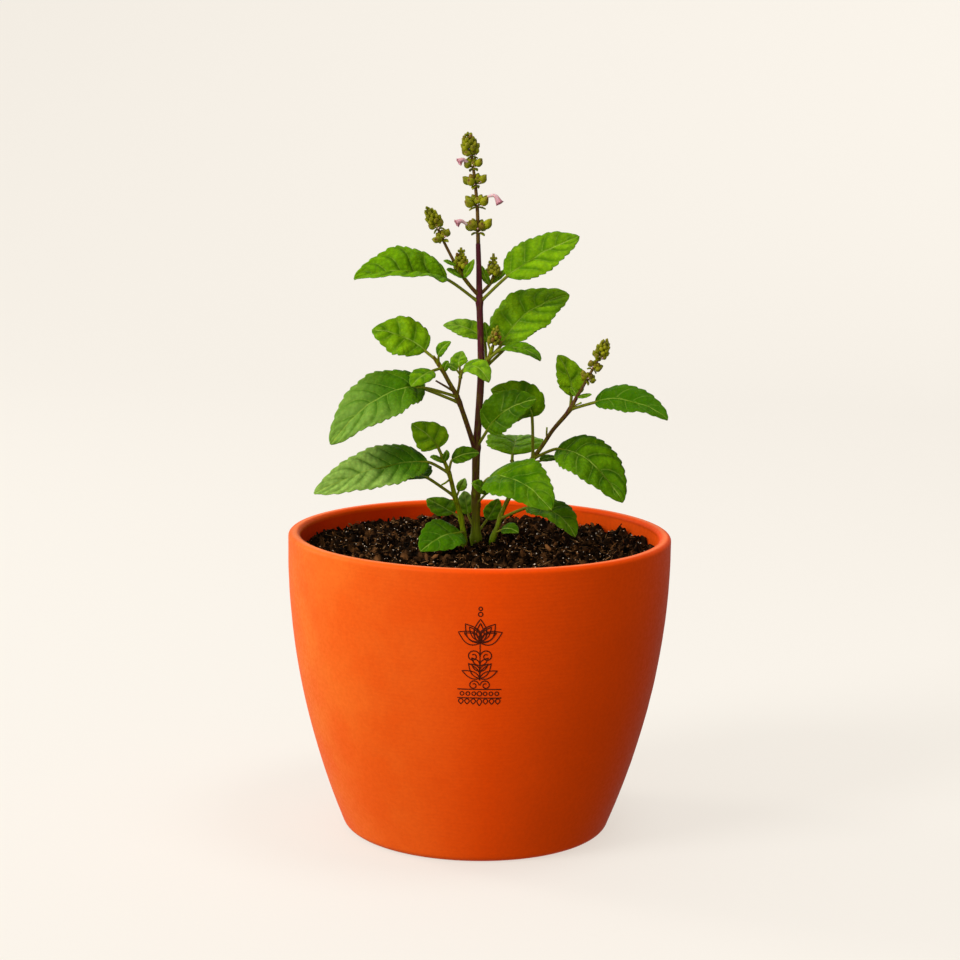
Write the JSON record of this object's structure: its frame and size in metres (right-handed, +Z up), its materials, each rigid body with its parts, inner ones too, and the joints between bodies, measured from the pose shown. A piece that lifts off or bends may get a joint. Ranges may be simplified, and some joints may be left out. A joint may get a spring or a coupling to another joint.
{
  "type": "potted basil plant",
  "caption": "Young holy basil in a round terracotta pot that draws in towards its foot: branching stems, toothed oval leaves, flower spikes and dark soil.",
  "frame": {"origin": "middle of the pot's flat foot, on the surface that it stands on", "axes": "+Z up along the pot's axis and the main stem; +X to the right and -Y towards the viewer in the front view, which shows the broad sides of most leaves"},
  "size_m": [0.16, 0.16, 0.292],
  "materials": {
    "terracotta": "matt unglazed orange terracotta with a paler lip",
    "soil": "dark crumbly potting soil with pale grains",
    "stem": "satin purple-brown stem",
    "twig": "satin olive-green shoot",
    "bud": "finely hairy olive-green calyx, with pink corollas",
    "leaf_fresh": "soft satin yellow-green leaf with pale veins",
    "leaf_deep": "soft satin deep green leaf with pale veins",
    "leaf_pale": "soft satin pale green leaf with pale veins"
  },
  "bodies": {
    "root": {"pot": "terracotta", "soil": "soil", "stem_main": "stem", "branch_left": "stem", "branch_low_left": "twig", "branch_right": "twig", "shoot_upper_left": "twig", "shoot_upper_right": "twig", "shoot_mid_right": "twig", "spike_top": "bud", "spike_upper_left": "bud", "spike_upper_left_young": "bud", "spike_upper_right": "bud", "spike_mid_right": "bud", "spike_right": "bud", "leaf_top_left": "leaf_deep", "leaf_top_right": "leaf_fresh", "leaf_mid_right": "leaf_fresh", "leaf_mid_right_low": "leaf_deep", "leaf_mid_back": "leaf_fresh", "leaf_mid_far": "leaf_deep", "leaf_mid_young": "leaf_deep", "leaf_left_large": "leaf_fresh", "leaf_left_far": "leaf_deep", "leaf_left_inner": "leaf_fresh", "leaf_left_high": "leaf_fresh", "leaf_left_small": "leaf_fresh", "leaf_left_front": "leaf_fresh", "leaf_left_back": "leaf_fresh", "leaf_left_young": "leaf_fresh", "leaf_centre_front": "leaf_deep", "leaf_centre_right": "leaf_fresh", "leaf_back_large": "leaf_deep", "leaf_right_large": "leaf_deep", "leaf_right_inner": "leaf_deep", "leaf_right_upper": "leaf_fresh", "leaf_right_outer": "leaf_fresh", "leaf_front_large": "leaf_fresh", "leaf_front_small": "leaf_deep", "leaf_low_right": "leaf_deep", "leaf_low_right_small": "leaf_deep", "leaf_low_front": "leaf_fresh", "leaf_low_left_long": "leaf_pale", "leaf_low_left_under": "leaf_deep", "leaf_low_left_top": "leaf_fresh", "leaf_low_left_inner": "leaf_deep", "leaf_low_left_back": "leaf_deep", "leaf_low_left_curled": "leaf_fresh", "leaf_low_back_pale": "leaf_pale", "leaf_low_back_dark": "leaf_deep"}
  },
  "joints": []
}
